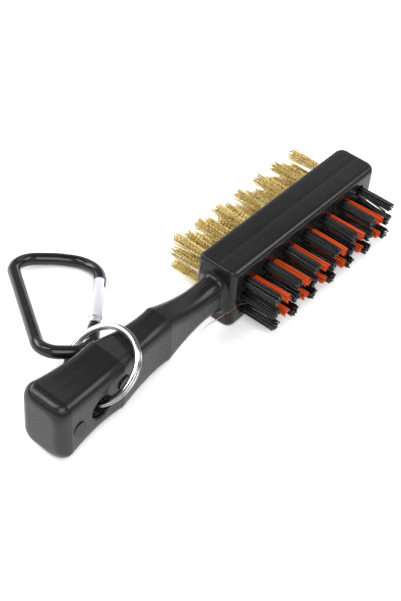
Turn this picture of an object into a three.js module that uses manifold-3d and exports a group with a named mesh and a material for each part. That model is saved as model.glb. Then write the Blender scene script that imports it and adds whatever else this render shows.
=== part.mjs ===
// Two-sided golf club groove brush with a split key ring and a snap carabiner.
// Millimetres. +X runs from the handle to the far end of the head, +Y points to the brass
// bristles, +Z is up. The brush lies on the narrow bottom face of its head, whose centre is
// the origin.
import * as THREE from 'three';
import { mergeVertices } from 'three/addons/utils/BufferGeometryUtils.js';
import Module from 'manifold-3d';

const wasm = await Module();
wasm.setup();

// ---- driving dimensions ----------------------------------------------------------------

const HEAD = {
  nearX: -39,
  farX: 41.6,
  thickness: 16.4,
  height: 24.8,
  cornerRadius: 3,
  edgeRadius: 1.5,
  roundSegments: 3,
};
const MID_HEIGHT = HEAD.height / 2;
const HEAD_END_X = HEAD.nearX;

// Three scooped lengths of the handle, each running between two creases. s is the distance
// from the head; width is the half width, and top and bottom are heights above and below the
// middle, each at the start, at the control point of the scoop and at the end.
const SCOOPS = [
  { s: [0, 10, 27.9], width: [5.6, 4.4, 5.8], top: [7.2, 4.5, 10.5], bottom: [7.2, 4.5, 9.6] },
  { s: [27.9, 37, 52], width: [5.8, 5.3, 7.8], top: [10.5, 8.6, 11.5], bottom: [9.6, 8.6, 10.6] },
  { s: [52, 62, 77], width: [7.8, 7.3, 9], top: [11.5, 10, 12.2], bottom: [10.6, 8.4, 10.2] },
];
const HANDLE = {
  length: 80.5,
  cornerRadius: 3.2,
  cornerShare: 0.9,
  endRadius: 2.9,
  buried: 4,
  steps: 7,
  arcSteps: 4,
};
const KEY_HOLE = { fromHead: 61.8, radius: 4.2 };

const TUFTS = { pitch: 10.8, rowSpacing: 3.07, columns: 7, rows: 5, holeDepth: 4.5, holeRadius: 1.8 };
const NYLON = { length: 13.8, rootRadius: 1.3, tipRadius: 2 };
const BRASS = { length: 14.4, rootRadius: 0.95, tipRadius: 1.15, stripHeight: 0.5, stripWidth: 1.2 };

const RING = {
  radius: 12.75,
  band: 1.9,
  coil: 0.95,
  coilGap: 0.15,
  turns: 1.94,
  crossing: [0.88, 1.06],
  stepsPerTurn: 32,
  centre: [-91.7, 1.3, 17.3],
  leanDeg: -34.6,
  rollDeg: -9.2,
};

// The carabiner lies in its own XY plane: +Y from its narrow end to its wide end, the spine
// on the left and the gate on the right.
const CARABINER = {
  corners: [[23, 0], [7.2, 0], [-0.3, 59.9], [16.3, 59.8], [31.3, 56.2]],
  cornerRadii: [7.5, 7, 8.5, 20, 11.6],
  stockRadius: 2.2,
  position: [-106.58, 23.18, 18.09],
  yawDeg: -42.4,
  pitchDeg: 3.8,
  rollDeg: -14.3,
  steps: 72,
};
const GATE = {
  pivotUp: 17.5,
  length: 26.2,
  tail: 1.5,
  radius: 2.35,
  bore: 1.75,
  endWall: 0.6,
  slot: 2.5,
  slotUp: 3.6,
};
const TONGUE = { length: 4.6, inner: 1.55, outer: 2.2, width: 2.6, buried: 1 };
const TANG = { bodyDrop: 2.9, up: 1.5, halfWidth: 1.3, thickness: 2, buried: 0.5 };
const RIVET = { radius: 0.7, holeRadius: 0.82, headRadius: 1.25, headHeight: 0.4, headGap: 0.25 };
const SPRING = { radius: 1.05, wire: 0.22, turns: 6, stepsPerTurn: 10, from: 7.2, to: 15 };
const PLUNGER = { radius: 1.3, from: 3.4, to: 6.6 };

// Gap left between neighbouring pieces, and how far a cutting tool runs past a face.
const CLEARANCE = 0.3;
const OVERCUT = 1;

// Sides of each kind of round, and the distance within which two corners are one.
const SIDES = { tuft: 8, keyHole: 24, gate: 20, pin: 12, bar: 10, springWire: 5 };
const WELD = 1e-4;

// ---- materials -------------------------------------------------------------------------

const plastic = new THREE.MeshStandardMaterial({ color: 0x2b2c2e, roughness: 0.45, metalness: 0 });
const blackNylon = new THREE.MeshStandardMaterial({ color: 0x17181a, roughness: 0.5, metalness: 0 });
const orangeNylon = new THREE.MeshStandardMaterial({ color: 0xe8501a, roughness: 0.5, metalness: 0 });
const brassWire = new THREE.MeshStandardMaterial({ color: 0xcfa84a, roughness: 0.35, metalness: 1 });
const nickel = new THREE.MeshStandardMaterial({ color: 0xc8c8c6, roughness: 0.2, metalness: 1 });
const blackAnodised = new THREE.MeshStandardMaterial({ color: 0x131417, roughness: 0.25, metalness: 0.6 });
const bareAluminium = new THREE.MeshStandardMaterial({ color: 0xdcdae6, roughness: 0.3, metalness: 1 });
const steel = new THREE.MeshStandardMaterial({ color: 0x9a9a9c, roughness: 0.35, metalness: 1 });

const group = new THREE.Group();

function addMesh(name, geometry, material, parent = group) {
  const mesh = new THREE.Mesh(geometry, material);
  mesh.name = name;
  parent.add(mesh);
  return mesh;
}

// ---- solids ----------------------------------------------------------------------------

function toManifold(geometry) {
  const bare = geometry.clone();
  bare.deleteAttribute('normal');
  bare.deleteAttribute('uv');
  const merged = mergeVertices(bare, WELD);
  return new wasm.Manifold(new wasm.Mesh({
    numProp: 3,
    vertProperties: new Float32Array(merged.attributes.position.array),
    triVerts: new Uint32Array(merged.index.array),
  }));
}

function toGeometry(solid) {
  const mesh = solid.getMesh();
  const geometry = new THREE.BufferGeometry();
  geometry.setAttribute('position', new THREE.BufferAttribute(mesh.vertProperties, 3));
  geometry.setIndex(new THREE.BufferAttribute(mesh.triVerts, 1));
  return geometry;
}

const wasmUnion = (solids) => solids.reduce((sum, solid) => sum.add(solid));
const wasmCut = (solid, tools) => tools.reduce((rest, tool) => rest.subtract(tool), solid);

function box(width, depth, height, x, y, z) {
  return toManifold(new THREE.BoxGeometry(width, depth, height).translate(x, y, z));
}

// A round rod along Y from y0 to y1, centred on (x, z).
function rodAlongY(startRadius, endRadius, y0, y1, x, z, sides) {
  const rod = new THREE.CylinderGeometry(endRadius, startRadius, y1 - y0, sides);
  return rod.translate(x, (y0 + y1) / 2, z);
}

// A closed solid through a row of sections, each a loop of the same number of points.
function loft(sections) {
  const size = sections[0].length;
  const points = sections.flat();
  const last = points.length - size;
  const index = [];
  for (let row = 0; row < sections.length - 1; row += 1) {
    for (let i = 0; i < size; i += 1) {
      const a = row * size + i;
      const b = row * size + (i + 1) % size;
      index.push(a, b, a + size, b, b + size, a + size);
    }
  }
  for (let i = 1; i < size - 1; i += 1) {
    index.push(0, i + 1, i);
    index.push(last, last + i, last + i + 1);
  }
  const geometry = new THREE.BufferGeometry().setFromPoints(points);
  geometry.setIndex(index);
  return geometry;
}

// ---- handle and head -------------------------------------------------------------------

// Outline of a rounded rectangle across the handle, seen along +X.
function handleSection(x, halfWidth, top, bottom) {
  const radius = Math.min(HANDLE.cornerRadius, HANDLE.cornerShare * halfWidth);
  const points = [];
  for (let corner = 0; corner < 4; corner += 1) {
    const ySign = corner === 0 || corner === 3 ? 1 : -1;
    const arcZ = MID_HEIGHT + (corner < 2 ? top - radius : radius - bottom);
    for (let step = 0; step <= HANDLE.arcSteps; step += 1) {
      const angle = (corner + step / HANDLE.arcSteps) * Math.PI / 2;
      const y = ySign * (halfWidth - radius) + radius * Math.cos(angle);
      points.push(new THREE.Vector3(x, y, arcZ + radius * Math.sin(angle)));
    }
  }
  return points;
}

function handleSolid() {
  const sections = [];
  const add = (s, ...size) => sections.unshift(handleSection(HEAD_END_X - s, ...size));
  const [root, , butt] = SCOOPS;
  add(-HANDLE.buried, root.width[0], root.top[0], root.bottom[0]);
  for (const scoop of SCOOPS) {
    const edge = (heights) => {
      const corner = (k) => new THREE.Vector3(scoop.s[k], scoop.width[k], heights[k]);
      return new THREE.QuadraticBezierCurve3(corner(0), corner(1), corner(2)).getPoints(HANDLE.steps);
    };
    const lower = edge(scoop.bottom);
    edge(scoop.top).slice(0, -1).forEach((point, i) => add(point.x, point.y, point.z, lower[i].z));
  }
  const capLength = HANDLE.length - butt.s[2];
  for (let step = 0; step <= HANDLE.arcSteps; step += 1) {
    const angle = step / HANDLE.arcSteps * Math.PI / 2;
    const inset = HANDLE.endRadius * (1 - Math.cos(angle));
    const s = butt.s[2] + capLength * Math.sin(angle);
    add(s, butt.width[2] - inset, butt.top[2] - inset, butt.bottom[2] - inset);
  }
  return toManifold(loft(sections));
}

function headSolid() {
  const { nearX, farX, thickness, height, cornerRadius, edgeRadius, roundSegments } = HEAD;
  const halfX = (farX - nearX) / 2 - edgeRadius;
  const halfY = thickness / 2 - edgeRadius;
  const radius = cornerRadius - edgeRadius;
  const outline = new THREE.Shape();
  outline.absarc(halfX - radius, halfY - radius, radius, 0, Math.PI / 2);
  outline.absarc(radius - halfX, halfY - radius, radius, Math.PI / 2, Math.PI);
  outline.absarc(radius - halfX, radius - halfY, radius, Math.PI, 1.5 * Math.PI);
  outline.absarc(halfX - radius, radius - halfY, radius, 1.5 * Math.PI, 2 * Math.PI);
  const block = new THREE.ExtrudeGeometry(outline, {
    depth: height - 2 * edgeRadius,
    curveSegments: roundSegments,
    bevelThickness: edgeRadius,
    bevelSize: edgeRadius,
    bevelSegments: roundSegments,
  });
  return toManifold(block.translate((farX + nearX) / 2, 0, edgeRadius));
}

// Places of the tufts on one face: rows 1, 3 and 5 are full, rows 2 and 4 sit half a pitch in.
function tuftPlaces() {
  const places = [];
  for (let row = 1; row <= TUFTS.rows; row += 1) {
    const count = row % 2 === 1 ? TUFTS.columns : TUFTS.columns - 1;
    for (let column = 1; column <= count; column += 1) {
      const x = (column - (count + 1) / 2) * TUFTS.pitch;
      const z = MID_HEIGHT + ((TUFTS.rows + 1) / 2 - row) * TUFTS.rowSpacing;
      places.push({ row, column, x, z });
    }
  }
  return places;
}

const FACE_Y = HEAD.thickness / 2;
const HOLE_FLOOR_Y = FACE_Y - TUFTS.holeDepth;
const TUFT_BASE_Y = HOLE_FLOOR_Y + CLEARANCE;

function handleBody() {
  const holes = [];
  for (const { x, z } of tuftPlaces()) {
    for (const [y0, y1] of [[HOLE_FLOOR_Y, FACE_Y + OVERCUT], [-FACE_Y - OVERCUT, -HOLE_FLOOR_Y]]) {
      const hole = rodAlongY(TUFTS.holeRadius, TUFTS.holeRadius, y0, y1, x, z, SIDES.tuft);
      holes.push(toManifold(hole));
    }
  }
  const keyHoleX = HEAD_END_X - KEY_HOLE.fromHead;
  const reach = HEAD.thickness;
  const { radius } = KEY_HOLE;
  const keyHole = rodAlongY(radius, radius, -reach, reach, keyHoleX, MID_HEIGHT, SIDES.keyHole);
  const solid = handleSolid().add(headSolid());
  return toGeometry(wasmCut(solid, [...holes, toManifold(keyHole)]));
}

// ---- bristles --------------------------------------------------------------------------

function addNylonTufts() {
  for (const { row, column, x, z } of tuftPlaces()) {
    const orange = row % 2 === 0;
    const name = `${orange ? 'orange' : 'black'}_nylon_tuft_row${row}_${column}`;
    const { rootRadius, tipRadius, length } = NYLON;
    const tip = -FACE_Y - length;
    const tuft = rodAlongY(tipRadius, rootRadius, tip, -TUFT_BASE_Y, x, z, SIDES.tuft);
    addMesh(name, tuft, orange ? orangeNylon : blackNylon);
  }
}

// Each brass row is one body: a thin strip just outside the face joins its tufts.
function addBrassRows() {
  for (let row = 1; row <= TUFTS.rows; row += 1) {
    const places = tuftPlaces().filter((place) => place.row === row);
    const { rootRadius, tipRadius, length, stripHeight, stripWidth } = BRASS;
    const tufts = places.map(({ x, z }) => toManifold(
      rodAlongY(rootRadius, tipRadius, TUFT_BASE_Y, FACE_Y + length, x, z, SIDES.tuft),
    ));
    const stripLength = places.at(-1).x - places[0].x;
    const stripY = FACE_Y + CLEARANCE + stripHeight / 2;
    const strip = box(stripLength, stripHeight, stripWidth, 0, stripY, places[0].z);
    addMesh(`brass_tuft_row${row}`, toGeometry(wasmUnion([...tufts, strip])), brassWire);
  }
}

// ---- split ring ------------------------------------------------------------------------

function addSplitRing() {
  const sections = [];
  const steps = Math.round(RING.turns * RING.stepsPerTurn);
  const pitch = RING.coil + RING.coilGap;
  for (let step = 0; step <= steps; step += 1) {
    const turn = step / steps * RING.turns;
    const angle = 2 * Math.PI * turn;
    // The wire climbs one pitch over a short crossing in the middle of its length.
    const climb = THREE.MathUtils.smoothstep(turn, ...RING.crossing) - 0.5;
    const outline = [[-1, -1], [1, -1], [1, 1], [-1, 1]];
    sections.push(outline.map(([across, up]) => {
      const radius = RING.radius + across * RING.band / 2;
      const z = climb * pitch + up * RING.coil / 2;
      return new THREE.Vector3(radius * Math.cos(angle), radius * Math.sin(angle), z);
    }));
  }
  const ring = addMesh('split_ring', loft(sections.reverse()), nickel);
  ring.position.set(...RING.centre);
  ring.rotation.set(
    THREE.MathUtils.degToRad(RING.rollDeg),
    THREE.MathUtils.degToRad(RING.leanDeg),
    0,
    'YXZ',
  );
}

// ---- carabiner -------------------------------------------------------------------------

const vector = ([x, y]) => new THREE.Vector2(x, y);
const GATE_FOOT = vector(CARABINER.corners[0]);
const GATE_HEAD = vector(CARABINER.corners.at(-1));
const GATE_DIRECTION = GATE_HEAD.clone().sub(GATE_FOOT).normalize();
const PIVOT = GATE_FOOT.clone().addScaledVector(GATE_DIRECTION, GATE.pivotUp);

function alongGate(distance) {
  return PIVOT.clone().addScaledVector(GATE_DIRECTION, distance);
}

// Centre line of the bar: round the narrow end, up the spine, round the wide end to the nose.
function barCentreLine() {
  const path = new THREE.Path();
  const start = alongGate(-TANG.bodyDrop);
  const end = alongGate(GATE.length + CLEARANCE);
  path.moveTo(start.x, start.y);
  const stops = [start, ...CARABINER.corners.map(vector), end];
  for (let i = 1; i < stops.length - 1; i += 1) {
    const back = stops[i - 1].clone().sub(stops[i]).normalize();
    const ahead = stops[i + 1].clone().sub(stops[i]).normalize();
    const halfAngle = Math.acos(back.dot(ahead)) / 2;
    const radius = CARABINER.cornerRadii[i - 1];
    const reach = radius / Math.tan(halfAngle);
    const enter = stops[i].clone().addScaledVector(back, reach);
    const bisector = back.clone().add(ahead).normalize();
    const centre = stops[i].clone().addScaledVector(bisector, radius / Math.sin(halfAngle));
    const startAngle = enter.clone().sub(centre).angle();
    path.lineTo(enter.x, enter.y);
    path.absarc(centre.x, centre.y, radius, startAngle, startAngle - (Math.PI - 2 * halfAngle), true);
  }
  path.lineTo(end.x, end.y);
  const points = path.getSpacedPoints(CARABINER.steps).map((p) => new THREE.Vector3(p.x, p.y, 0));
  return new THREE.CatmullRomCurve3(points);
}

function sweepRound(curve, radius, steps, sides) {
  const section = new THREE.Shape();
  for (let i = 0; i < sides; i += 1) {
    const angle = 2 * Math.PI * i / sides;
    const draw = i === 0 ? 'moveTo' : 'lineTo';
    section[draw](radius * Math.cos(angle), radius * Math.sin(angle));
  }
  return new THREE.ExtrudeGeometry(section, { steps, extrudePath: curve, bevelEnabled: false });
}

// Turns a solid built about the pivot, with the gate along +Y, into the carabiner's frame.
function placeAtPivot(geometry) {
  const turn = Math.atan2(GATE_DIRECTION.y, GATE_DIRECTION.x) - Math.PI / 2;
  return geometry.rotateZ(turn).translate(PIVOT.x, PIVOT.y, 0);
}

function pinHole(radius) {
  const pin = new THREE.CylinderGeometry(radius, radius, 4 * GATE.radius, SIDES.pin);
  return toManifold(pin.rotateX(Math.PI / 2));
}

function bodyEnds() {
  const tangLength = TANG.bodyDrop + TANG.up + TANG.buried;
  const tang = box(2 * TANG.halfWidth, tangLength, TANG.thickness, 0, TANG.up - tangLength / 2, 0);
  const drilledTang = tang.subtract(pinHole(RIVET.holeRadius));
  const { inner, outer, width, length, buried } = TONGUE;
  const tongueLength = length + buried;
  const tongueY = GATE.length + CLEARANCE + buried - tongueLength / 2;
  const tongue = box(outer - inner, tongueLength, width, (outer + inner) / 2, tongueY, 0);
  return [drilledTang, tongue].map((solid) => toManifold(placeAtPivot(toGeometry(solid))));
}

function gateSolid() {
  const { length, tail, radius, bore, endWall, slot, slotUp } = GATE;
  const tube = toManifold(rodAlongY(radius, radius, -tail, length, 0, 0, SIDES.gate));
  const mouth = -tail - OVERCUT;
  const hollow = toManifold(rodAlongY(bore, bore, mouth, length - endWall, 0, 0, SIDES.gate));
  const hingeSlot = box(4 * radius, slotUp - mouth, slot, 0, (slotUp + mouth) / 2, 0);
  const notchLength = TONGUE.length + OVERCUT;
  const noseNotch = box(
    radius,
    notchLength,
    TONGUE.width + 2 * CLEARANCE,
    TONGUE.inner - CLEARANCE + radius / 2,
    length - TONGUE.length + notchLength / 2,
    0,
  );
  return wasmCut(tube, [hollow, hingeSlot, noseNotch, pinHole(RIVET.holeRadius)]);
}

function rivetGeometry() {
  const { radius, headRadius, headHeight, headGap } = RIVET;
  const inner = GATE.radius + headGap;
  const outer = inner + headHeight;
  const profile = [[0, -outer], [headRadius, -outer], [headRadius, -inner], [radius, -inner],
    [radius, inner], [headRadius, inner], [headRadius, outer], [0, outer]];
  return new THREE.LatheGeometry(profile.map(vector), SIDES.pin).rotateX(Math.PI / 2);
}

function springGeometry() {
  const { radius, wire, turns, stepsPerTurn, from, to } = SPRING;
  const points = [];
  const steps = turns * stepsPerTurn;
  for (let step = 0; step <= steps; step += 1) {
    const angle = 2 * Math.PI * step / stepsPerTurn;
    const y = from + (to - from) * step / steps;
    points.push(new THREE.Vector3(radius * Math.cos(angle), y, radius * Math.sin(angle)));
  }
  return sweepRound(new THREE.CatmullRomCurve3(points), wire, steps, SIDES.springWire);
}

function addCarabiner() {
  const frame = new THREE.Group();
  frame.position.set(...CARABINER.position);
  frame.rotation.set(
    THREE.MathUtils.degToRad(CARABINER.rollDeg),
    THREE.MathUtils.degToRad(CARABINER.pitchDeg),
    THREE.MathUtils.degToRad(CARABINER.yawDeg),
    'ZYX',
  );
  group.add(frame);
  const { stockRadius, steps } = CARABINER;
  const bar = toManifold(sweepRound(barCentreLine(), stockRadius, steps, SIDES.bar));
  const { radius, from, to } = PLUNGER;
  const plunger = rodAlongY(radius, radius, from, to, 0, 0, SIDES.pin);
  addMesh('carabiner_body', toGeometry(wasmUnion([bar, ...bodyEnds()])), blackAnodised, frame);
  addMesh('carabiner_gate', placeAtPivot(toGeometry(gateSolid())), bareAluminium, frame);
  addMesh('gate_hinge_rivet', placeAtPivot(rivetGeometry()), steel, frame);
  addMesh('gate_plunger', placeAtPivot(plunger), steel, frame);
  addMesh('gate_spring', placeAtPivot(springGeometry()), steel, frame);
}

// ---- assembly --------------------------------------------------------------------------

addMesh('handle_body', handleBody(), plastic);
addNylonTufts();
addBrassRows();
addSplitRing();
addCarabiner();

export default group;
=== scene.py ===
"""Looks for a two-sided golf club groove brush with a split key ring and a snap carabiner."""

import math

import bmesh
import bpy
import numpy as np
from mathutils import Matrix, Vector


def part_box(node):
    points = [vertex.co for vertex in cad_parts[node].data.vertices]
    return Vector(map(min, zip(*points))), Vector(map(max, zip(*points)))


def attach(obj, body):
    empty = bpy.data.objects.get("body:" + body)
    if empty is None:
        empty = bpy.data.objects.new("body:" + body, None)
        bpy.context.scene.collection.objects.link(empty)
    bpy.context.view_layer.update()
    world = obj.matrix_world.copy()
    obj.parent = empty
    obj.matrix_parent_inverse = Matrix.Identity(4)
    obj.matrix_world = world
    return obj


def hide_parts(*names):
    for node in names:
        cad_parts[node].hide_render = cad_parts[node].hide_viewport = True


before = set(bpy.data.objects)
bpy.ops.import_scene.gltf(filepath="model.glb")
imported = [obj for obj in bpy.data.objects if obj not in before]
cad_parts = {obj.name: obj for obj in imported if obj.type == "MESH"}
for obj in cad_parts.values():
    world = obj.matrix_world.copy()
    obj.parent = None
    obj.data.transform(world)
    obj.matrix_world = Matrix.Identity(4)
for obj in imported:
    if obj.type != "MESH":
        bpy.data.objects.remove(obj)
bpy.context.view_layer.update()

# Lengths below are in millimetres and become metres when a mesh is made.
MM = 0.001


def box_mm(node):
    """Lowest and highest corner of a CAD node, in millimetres."""
    low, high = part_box(node)
    return np.array(low) / MM, np.array(high) / MM


BODY_LOW, BODY_HIGH = box_mm("handle_body")

# ---- head and handle dimensions ------------------------------------------------------

# The head is the block at the +X end. The handle runs from it to the butt at the -X end.
# Each end of the head is rounded by "plan" seen from above and by "edge" at top and bottom.
HEAD_LENGTH = 80.6
HEAD_HALF_Y = 8.2
HEAD_HALF_Z = 12.4
MID_Z = 12.4
HEAD_FAR_X = BODY_HIGH[0]
HEAD_NEAR_X = HEAD_FAR_X - HEAD_LENGTH
HEAD_EDGE = 2.3
NEAR_END = {"plan": 2.4, "edge": 1.0, "steps": 8}
FAR_END = {"plan": 3.2, "edge": 1.5, "steps": 10}
HEAD_STATIONS = {"from_near": 4, "from_far": 6, "count": 12}

# Scooped lengths of the handle between two creases. Each has distances from the head, half
# widths, and heights above and below the middle, at its start, control point and end.
SCOOPS = [
    {
        "s": (0, 10, 27.9),
        "width": (4.9, 4.2, 5.8),
        "top": (7.2, 4.5, 10.5),
        "bottom": (7.2, 4.5, 9.6),
    },
    {
        "s": (27.9, 37, 52),
        "width": (5.8, 5.3, 7.8),
        "top": (10.5, 8.6, 11.5),
        "bottom": (9.6, 8.6, 10.6),
    },
    {
        "s": (52, 62, 76),
        "width": (7.8, 7.3, 9.0),
        "top": (11.5, 9.9, 12.2),
        "bottom": (10.6, 8.5, 11.4),
    },
]
HANDLE_LENGTH = HEAD_NEAR_X - BODY_LOW[0]
HANDLE_CORNER = {"s": (0, 22, 40, 62, 78), "radius": (4.2, 4.0, 3.5, 3.3, 3.8)}
BUTT_ROUND = {"y": 3.7, "z": 3.5, "steps": 10}
NECK_FLARE = {"reach": 2.2, "grow": 0.8, "steps": 7}

# Sections stand this far apart, but closer beside a crease and not within its margin.
STATION_GAP = 1.1
CREASE = {"beside": 0.25, "margin": 0.6}

# The parting line: its half width, its groove round the head and its ridge on the handle.
# On the small rings of an end face its half width is at most this share of the flat top.
PARTING = {"width": 0.25, "groove": 0.12, "flash": -0.06}
LONGEST_LINE = 0.2

# Rings of points across an end face, and across the face between the neck and the head's edge,
# as shares of the way outward.
FACE_RINGS = (0.06, 0.5, 0.9)
COLLAR_RINGS = (0.1, 0.5, 0.9)

# Points on a quarter of a section: along its flat top, round its corner and down its side.
# A corner is at most this share of the section's half width and half height.
TOP_SHARES = (0.4, 0.75)
CORNER_STEPS = 8
SIDE_SHARES = (0.75, 0.5, 0.25)
LARGEST_CORNER = 0.9

KEY_HOLE = {"s": 61.8, "radius": 4.2, "lip": 0.6}
KEY_HOLE_RIBS = {"count": 7, "depth": 0.16, "inner": 0.6, "outer": 1.6, "foot": 0.3, "top": 0.1}

# Low round bosses on the nylon side: how far they rise, and their depth from top to root.
MOULD_MARKS = [{"s": 72.5, "z": 12.1, "rise": 0.45}, {"s": 51.9, "z": 15.4, "rise": 0.5}]
MARK = {"radius": 2.75, "edge": 0.1, "depth": 3}

# ---- tuft dimensions -----------------------------------------------------------------

TUFT_PITCH = 10.8
ROW_SPACING = 3.07
TUFT_ROWS = 5
TUFT_HOLE = {"radius": 2.1, "depth": 4.5, "lip": 0.2}
ROOT_GAP = 0.4
NYLON = {
    "black": {"length": 13.8, "root": 1.9, "tip": 2.35, "strand": 0.27, "count": 23, "loose": 0},
    "orange": {"length": 13.8, "root": 1.55, "tip": 1.95, "strand": 0.25, "count": 18, "loose": 0},
}
FRAYED = {"tuft": (1, 7), "loose": 5, "towards": (-1.6, -1.3)}
BRASS = {"length": 14.4, "root": 1.8, "tip": 2.45, "strand": 0.19, "count": 30}

# How much strands scatter: their roots as a share of their pitch, the rest in millimetres,
# except the share of brass wires that stray.
NYLON_SCATTER = {
    "root": 0.05, "tip": 0.09, "tuft": 0.22, "loose": 0.6, "bow": 0.09, "tuft_bow": 0.08,
    "shorter": 0.1, "length": 0.28, "longest": 0.25,
}
BRASS_SCATTER = {
    "root": 0.08, "tip": 0.2, "tuft": 0.35, "stray_share": 0.05, "stray": 0.8,
    "shorter": 0.15, "length": 0.3, "longest": 0.25,
}
THICKNESS_SCATTER = 0.05

# Points along a strand, and how late it spreads: the power of the way along it.
NYLON_SPREAD = {"steps": 7, "power": 0.85}
BRASS_SPREAD = {"steps": 84, "power": 1.25}

# The crimp of brass wire: its waves from end to end and their scatter, their depth, how fast
# they reach it, and how much the wires of one tuft differ in phase and heading.
CRIMP = {
    "waves": 13.5, "wave_scatter": 0.3, "depth": (0.06, 0.15), "grow": 6,
    "phase": 0.9, "heading": 0.5,
}

LOOSE_STRAND = {"radius": 0.13, "steps": 10}
LOOSE_STRAND_ROUTE = [
    (-33.0, -9.6, 9.2), (-36.4, -9.0, 10.7), (-41.6, -9.3, 11.7),
    (-48.2, -9.7, 13.4), (-54.0, -10.2, 15.2), (-58.4, -10.6, 15.1),
]

# ---- ring and carabiner dimensions ---------------------------------------------------

# The wire is "band" wide and "coil" high, as a rounded rectangle. "start", "turns" and the
# place where the wire climbs to its second coil are counted in turns.
RING = {
    "radius": 12.75, "band": 1.9, "coil": 0.9, "gap": 0.24, "squareness": 2.5,
    "start": 0.5, "turns": 1.94, "climb_from": 0.88, "climb_over": 0.18, "steps": 110,
}
RING_CENTRE = (-91.7, 1.3, 17.3)
RING_LEAN = math.radians(-34.6)
RING_ROLL = math.radians(-9.2)

# The carabiner's own plane: +Y from the narrow end to the wide end, the gate on the right.
CARABINER_CORNERS = [(23, 0), (7.2, 0), (-0.3, 59.9), (16.3, 59.8), (31.3, 56.2)]
CARABINER_RADII = [7.5, 7, 8.5, 20, 11.6]
CARABINER_STEPS = {"bend": 14, "bar": 240}
STOCK = 2.2
CARABINER_PLACE = (-106.58, 23.18, 18.09)
CARABINER_TURN = [math.radians(a) for a in (-14.3, 3.8, -42.4)]

# The hinge pin stands "up" the gate's line from the carabiner's corner. The other heights are
# measured from the pin. A "reach" is how far a cutter goes from the gate's axis.
GATE = {"up": 17.5, "length": 26.2, "tail": 1.5, "radius": 2.35, "bore": 1.75, "end_wall": 0.6}
GATE_EDGE = {"size": 0.2, "middle": 0.06}
GATE_SLOT = {"width": 2.5, "up": 3.6, "reach": 6}
TONGUE = {"length": 4.6, "inner": 1.55, "outer": 2.2, "width": 2.6, "into_bar": 1.5, "edge": 0.2}
NOTCH_REACH = 4
TANG = {"drop": 2.9, "up": 1.5, "half": 1.3, "thick": 2.0, "into_bar": 1, "edge": 0.35}
RIVET = {"radius": 0.7, "hole": 0.82, "head": 1.25, "rim": 0.12, "dome": 0.42, "gap": 0.12}
SPRING = {"turns": 6, "from": 7.2, "to": 15.0, "radius": 1.05, "wire": 0.22, "steps": 24}
PLUNGER = [(0, 3.4), (0.7, 3.45), (1.1, 3.7), (1.3, 4.2), (1.3, 6.6), (0, 6.6)]
CLEARANCE = 0.3

# How many sides each round shape has.
SIDES = {
    "tuft_hole": 20, "key_hole": 56, "mould_mark": 40, "nylon": 8, "brass": 4,
    "loose_strand": 6, "ring": 24, "bar": 28, "tang_hole": 24, "gate": 56, "pin_hole": 28,
    "rivet": 32, "spring": 10, "plunger": 28,
}

# ---- stage dimensions ----------------------------------------------------------------

# The floor is a lit white table, so it glows a little.
FLOOR = {"reach": 3000, "height": -0.05, "glow": 0.25}

# A light tent: brightness from the horizon (0) to straight overhead (1).
TENT = [
    (0.0, 0.85), (0.07, 0.8), (0.13, 0.12), (0.32, 0.15),
    (0.42, 1.3), (0.54, 1.3), (0.64, 0.3), (1.0, 0.2),
]
TENT_BLUE = 1.015

# Softboxes: place, target, and width and height in metres, and power in watts.
SOFTBOXES = {
    "key_softbox": ((-0.45, -0.35, 0.75), (-0.04, 0, 0), (0.55, 0.55), 4.6),
    "strand_softbox": ((-0.35, 0.38, 0.75), (-0.02, 0, 0), (0.12, 0.35), 2.2),
    "edge_softbox": ((0.42, -0.36, 0.62), (-0.04, 0, 0), (0.3, 0.4), 2.2),
    "rim_softbox": ((-0.25, 0.75, 0.5), (-0.04, 0, 0), (0.7, 0.25), 4.0),
}

# The camera's lens and sensor width in millimetres, and its near and far limits in metres.
CAMERA = {"lens": 76.1, "sensor": 36.0, "near": 0.01, "far": 20.0}
CAMERA_PLACE = (-284.6, -176.3, 308.3)
CAMERA_FORWARD = (0.5706, 0.4211, -0.7051)
CAMERA_RIGHT = (0.6453, -0.7609, 0.0678)

rng = np.random.default_rng(7)

# ---- materials -----------------------------------------------------------------------


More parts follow.
